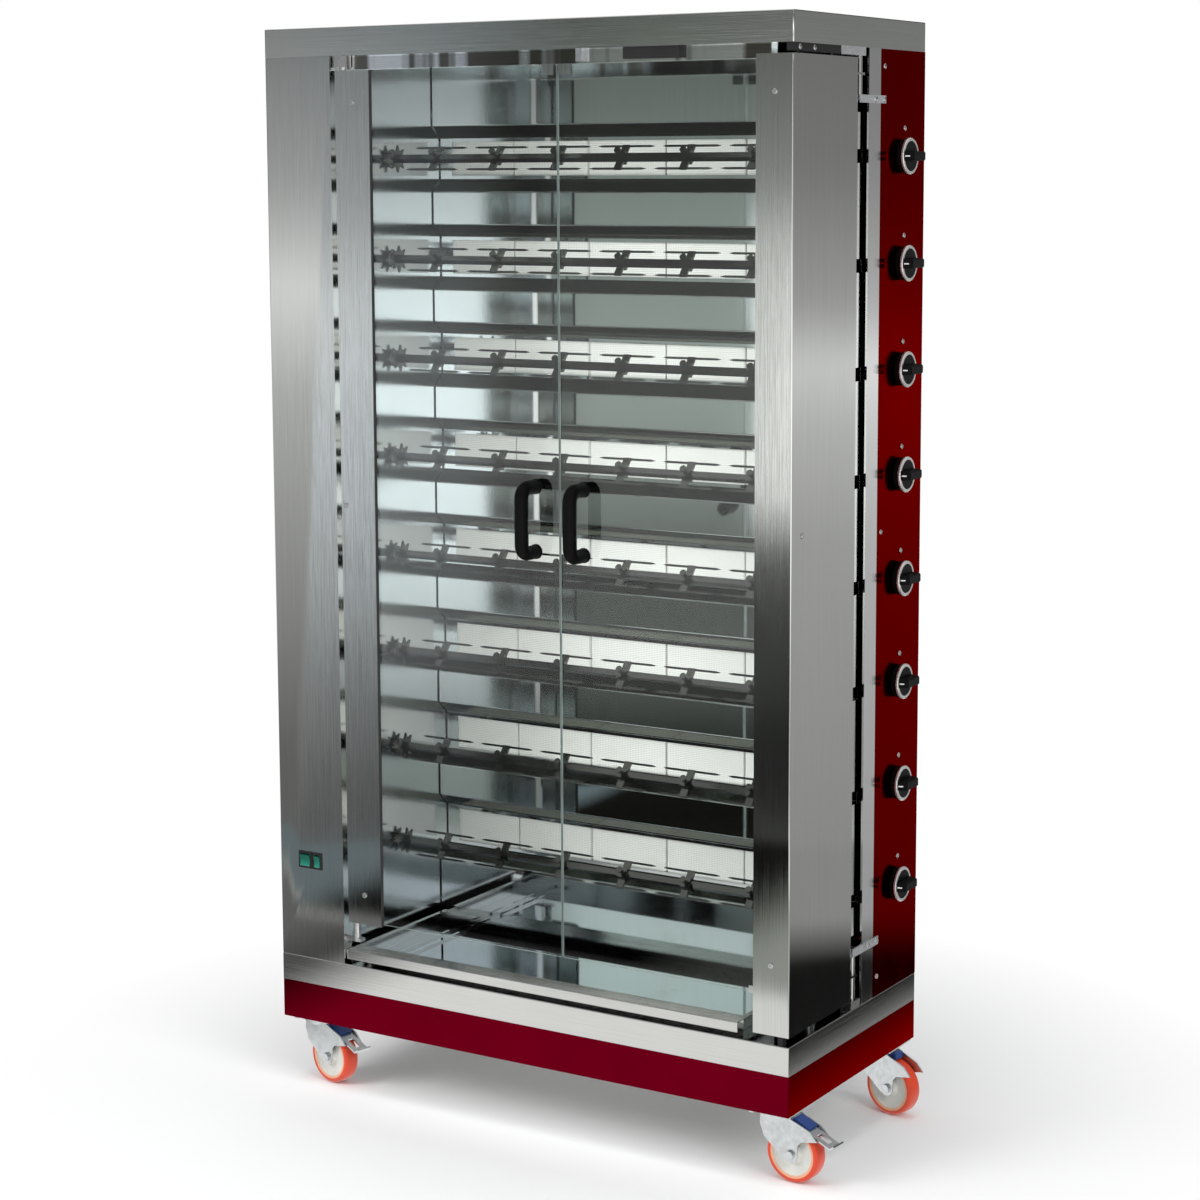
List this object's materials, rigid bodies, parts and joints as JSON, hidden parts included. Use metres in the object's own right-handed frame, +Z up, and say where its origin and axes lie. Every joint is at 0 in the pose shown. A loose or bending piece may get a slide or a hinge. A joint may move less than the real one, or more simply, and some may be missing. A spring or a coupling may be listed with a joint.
{
  "type": "gas rotisserie",
  "caption": "Free-standing gas rotisserie on castors: glass doors, stacked spits in front of ceramic burners, drive cabinet, side tap panel and drip tray.",
  "frame": {"origin": "on the floor, under the middle of the overall box", "axes": "+Z up, front faces -Y, tap panel on the +X side"},
  "size_m": [1.1285, 0.563, 1.925],
  "materials": {
    "red_enamel": "gloss",
    "steel": "brushed",
    "polished_steel": "polished",
    "galvanised_steel": "satin",
    "ceramic": "matt ceramic",
    "cast_iron": "matt",
    "brass": "satin",
    "door_glass": "clear",
    "black_plastic": "gloss",
    "matt_black_plastic": "matt",
    "green_lens": "translucent",
    "motor_paint": "satin",
    "zinc": "zinc plated",
    "castor_tread": "polyurethane",
    "chain_steel": "oiled"
  },
  "bodies": {
    "cabinet": {"base_plinth": "red_enamel", "chassis_frame": "galvanised_steel", "base_deck": "steel", "roof_canopy": "steel", "ceiling_panel": "polished_steel", "left_cabinet_cover": "steel", "inner_left_wall": "polished_steel", "inner_right_wall": "polished_steel", "rear_reflector": "polished_steel", "rear_cover": "galvanised_steel", "red_control_panel": "red_enamel", "side_trim_strip": "steel", "burner_bodies": "cast_iron", "ceramic_plates": "ceramic", "gas_taps": "brass", "gas_manifold": "galvanised_steel", "drive_chains": "chain_steel", "spit_bearings": "brass", "gearmotor": "motor_paint", "hinge_brackets": "steel", "door_catches": "steel", "switch_housings": "matt_black_plastic", "castor_plates": "zinc", "cable_gland": "matt_black_plastic", "fasteners": "zinc"},
    "left_door": {"left_door_strip": "steel", "left_door_glass": "door_glass", "left_door_handle": "black_plastic"},
    "right_door": {"right_door_column": "steel", "right_door_glass": "door_glass", "right_door_handle": "black_plastic"},
    "tray": {"drip_tray": "steel"},
    "wide_rocker": {"wide_switch_rocker": "green_lens"},
    "narrow_rocker": {"narrow_switch_rocker": "green_lens"},
    "spit_1_turning": {"spit_1": "polished_steel"},
    "knob_1": {"gas_knob_1": "black_plastic"},
    "spit_2_turning": {"spit_2": "polished_steel"},
    "knob_2": {"gas_knob_2": "black_plastic"},
    "spit_3_turning": {"spit_3": "polished_steel"},
    "knob_3": {"gas_knob_3": "black_plastic"},
    "spit_4_turning": {"spit_4": "polished_steel"},
    "knob_4": {"gas_knob_4": "black_plastic"},
    "spit_5_turning": {"spit_5": "polished_steel"},
    "knob_5": {"gas_knob_5": "black_plastic"},
    "spit_6_turning": {"spit_6": "polished_steel"},
    "knob_6": {"gas_knob_6": "black_plastic"},
    "spit_7_turning": {"spit_7": "polished_steel"},
    "knob_7": {"gas_knob_7": "black_plastic"},
    "spit_8_turning": {"spit_8": "polished_steel"},
    "knob_8": {"gas_knob_8": "black_plastic"},
    "castor_front_left": {"castor_fork_front_left": "zinc"},
    "wheel_front_left": {"castor_wheel_front_left": "castor_tread"},
    "brake_front_left": {"castor_brake_front_left": "zinc"},
    "castor_front_right": {"castor_fork_front_right": "zinc"},
    "wheel_front_right": {"castor_wheel_front_right": "castor_tread"},
    "brake_front_right": {"castor_brake_front_right": "zinc"},
    "castor_rear_left": {"castor_fork_rear_left": "zinc"},
    "wheel_rear_left": {"castor_wheel_rear_left": "castor_tread"},
    "castor_rear_right": {"castor_fork_rear_right": "zinc"},
    "wheel_rear_right": {"castor_wheel_rear_right": "castor_tread"}
  },
  "joints": [
    {"name": "left_door_hinge", "type": "hinge", "parent": "cabinet", "child": "left_door", "pos_m": [-0.39321, -0.2185, 1], "axis": [0, 0, 1], "range_deg": [-110, 0]},
    {"name": "right_door_hinge", "type": "hinge", "parent": "cabinet", "child": "right_door", "pos_m": [0.48579, 0.0215, 1], "axis": [0, 0, 1], "range_deg": [0, 110]},
    {"name": "tray_slide", "type": "slide", "parent": "cabinet", "child": "tray", "axis": [0, -1, 0], "range_m": [0, 0.4]},
    {"name": "spit_1_spin", "type": "hinge", "parent": "cabinet", "child": "spit_1_turning", "pos_m": [-0.03322, -0.0235, 0.431], "axis": [1, 0, 0], "continuous": true},
    {"name": "spit_2_spin", "type": "hinge", "parent": "cabinet", "child": "spit_2_turning", "pos_m": [-0.03322, -0.0235, 0.612], "axis": [1, 0, 0], "continuous": true},
    {"name": "spit_3_spin", "type": "hinge", "parent": "cabinet", "child": "spit_3_turning", "pos_m": [-0.03322, -0.0235, 0.793], "axis": [1, 0, 0], "continuous": true},
    {"name": "spit_4_spin", "type": "hinge", "parent": "cabinet", "child": "spit_4_turning", "pos_m": [-0.03322, -0.0235, 0.974], "axis": [1, 0, 0], "continuous": true},
    {"name": "spit_5_spin", "type": "hinge", "parent": "cabinet", "child": "spit_5_turning", "pos_m": [-0.03322, -0.0235, 1.155], "axis": [1, 0, 0], "continuous": true},
    {"name": "spit_6_spin", "type": "hinge", "parent": "cabinet", "child": "spit_6_turning", "pos_m": [-0.03322, -0.0235, 1.336], "axis": [1, 0, 0], "continuous": true},
    {"name": "spit_7_spin", "type": "hinge", "parent": "cabinet", "child": "spit_7_turning", "pos_m": [-0.03322, -0.0235, 1.517], "axis": [1, 0, 0], "continuous": true},
    {"name": "spit_8_spin", "type": "hinge", "parent": "cabinet", "child": "spit_8_turning", "pos_m": [-0.03322, -0.0235, 1.698], "axis": [1, 0, 0], "continuous": true},
    {"name": "knob_1_turn", "type": "hinge", "parent": "cabinet", "child": "knob_1", "pos_m": [0.49378, 0.1719, 0.431], "axis": [1, 0, 0], "range_deg": [-90, 90]},
    {"name": "knob_2_turn", "type": "hinge", "parent": "cabinet", "child": "knob_2", "pos_m": [0.49378, 0.1719, 0.612], "axis": [1, 0, 0], "range_deg": [-90, 90]},
    {"name": "knob_3_turn", "type": "hinge", "parent": "cabinet", "child": "knob_3", "pos_m": [0.49378, 0.1719, 0.793], "axis": [1, 0, 0], "range_deg": [-90, 90]},
    {"name": "knob_4_turn", "type": "hinge", "parent": "cabinet", "child": "knob_4", "pos_m": [0.49378, 0.1719, 0.974], "axis": [1, 0, 0], "range_deg": [-90, 90]},
    {"name": "knob_5_turn", "type": "hinge", "parent": "cabinet", "child": "knob_5", "pos_m": [0.49378, 0.1719, 1.155], "axis": [1, 0, 0], "range_deg": [-90, 90]},
    {"name": "knob_6_turn", "type": "hinge", "parent": "cabinet", "child": "knob_6", "pos_m": [0.49378, 0.1719, 1.336], "axis": [1, 0, 0], "range_deg": [-90, 90]},
    {"name": "knob_7_turn", "type": "hinge", "parent": "cabinet", "child": "knob_7", "pos_m": [0.49378, 0.1719, 1.517], "axis": [1, 0, 0], "range_deg": [-90, 90]},
    {"name": "knob_8_turn", "type": "hinge", "parent": "cabinet", "child": "knob_8", "pos_m": [0.49378, 0.1719, 1.698], "axis": [1, 0, 0], "range_deg": [-90, 90]},
    {"name": "wide_switch_rock", "type": "hinge", "parent": "cabinet", "child": "wide_rocker", "pos_m": [-0.50241, -0.2235, 0.4285], "axis": [1, 0, 0], "range_deg": [-14, 0]},
    {"name": "narrow_switch_rock", "type": "hinge", "parent": "cabinet", "child": "narrow_rocker", "pos_m": [-0.47521, -0.2235, 0.4285], "axis": [1, 0, 0], "range_deg": [-14, 0]},
    {"name": "castor_front_left_swivel", "type": "hinge", "parent": "cabinet", "child": "castor_front_left", "pos_m": [-0.51321, -0.1735, 0.11], "axis": [0, 0, 1], "continuous": true},
    {"name": "wheel_front_left_roll", "type": "hinge", "parent": "castor_front_left", "child": "wheel_front_left", "pos_m": [-0.478, -0.18099, 0.05], "axis": [0.2079, 0.9781, 0], "continuous": true},
    {"name": "brake_front_left_press", "type": "hinge", "parent": "castor_front_left", "child": "brake_front_left", "pos_m": [-0.47996, -0.18057, 0.109], "axis": [0.2079, 0.9781, 0], "range_deg": [-12, 0]},
    {"name": "castor_front_right_swivel", "type": "hinge", "parent": "cabinet", "child": "castor_front_right", "pos_m": [0.44678, -0.1735, 0.11], "axis": [0, 0, 1], "continuous": true},
    {"name": "wheel_front_right_roll", "type": "hinge", "parent": "castor_front_right", "child": "wheel_front_right", "pos_m": [0.4827, -0.17601, 0.05], "axis": [0.0698, 0.9976, 0], "continuous": true},
    {"name": "brake_front_right_press", "type": "hinge", "parent": "castor_front_right", "child": "brake_front_right", "pos_m": [0.4807, -0.17587, 0.109], "axis": [0.0698, 0.9976, 0], "range_deg": [-12, 0]},
    {"name": "castor_rear_left_swivel", "type": "hinge", "parent": "cabinet", "child": "castor_rear_left", "pos_m": [-0.51321, 0.2065, 0.11], "axis": [0, 0, 1], "continuous": true},
    {"name": "wheel_rear_left_roll", "type": "hinge", "parent": "castor_rear_left", "child": "wheel_rear_left", "pos_m": [-0.478, 0.19901, 0.05], "axis": [0.2079, 0.9781, 0], "continuous": true},
    {"name": "castor_rear_right_swivel", "type": "hinge", "parent": "cabinet", "child": "castor_rear_right", "pos_m": [0.44678, 0.2065, 0.11], "axis": [0, 0, 1], "continuous": true},
    {"name": "wheel_rear_right_roll", "type": "hinge", "parent": "castor_rear_right", "child": "wheel_rear_right", "pos_m": [0.482, 0.19901, 0.05], "axis": [0.2079, 0.9781, 0], "continuous": true}
  ],
  "couplings": [
    {"joint": "spit_2_spin", "follows": "spit_1_spin", "ratio": 1},
    {"joint": "spit_3_spin", "follows": "spit_1_spin", "ratio": 1},
    {"joint": "spit_4_spin", "follows": "spit_1_spin", "ratio": 1},
    {"joint": "spit_5_spin", "follows": "spit_1_spin", "ratio": 1},
    {"joint": "spit_6_spin", "follows": "spit_1_spin", "ratio": 1},
    {"joint": "spit_7_spin", "follows": "spit_1_spin", "ratio": 1},
    {"joint": "spit_8_spin", "follows": "spit_1_spin", "ratio": 1}
  ]
}
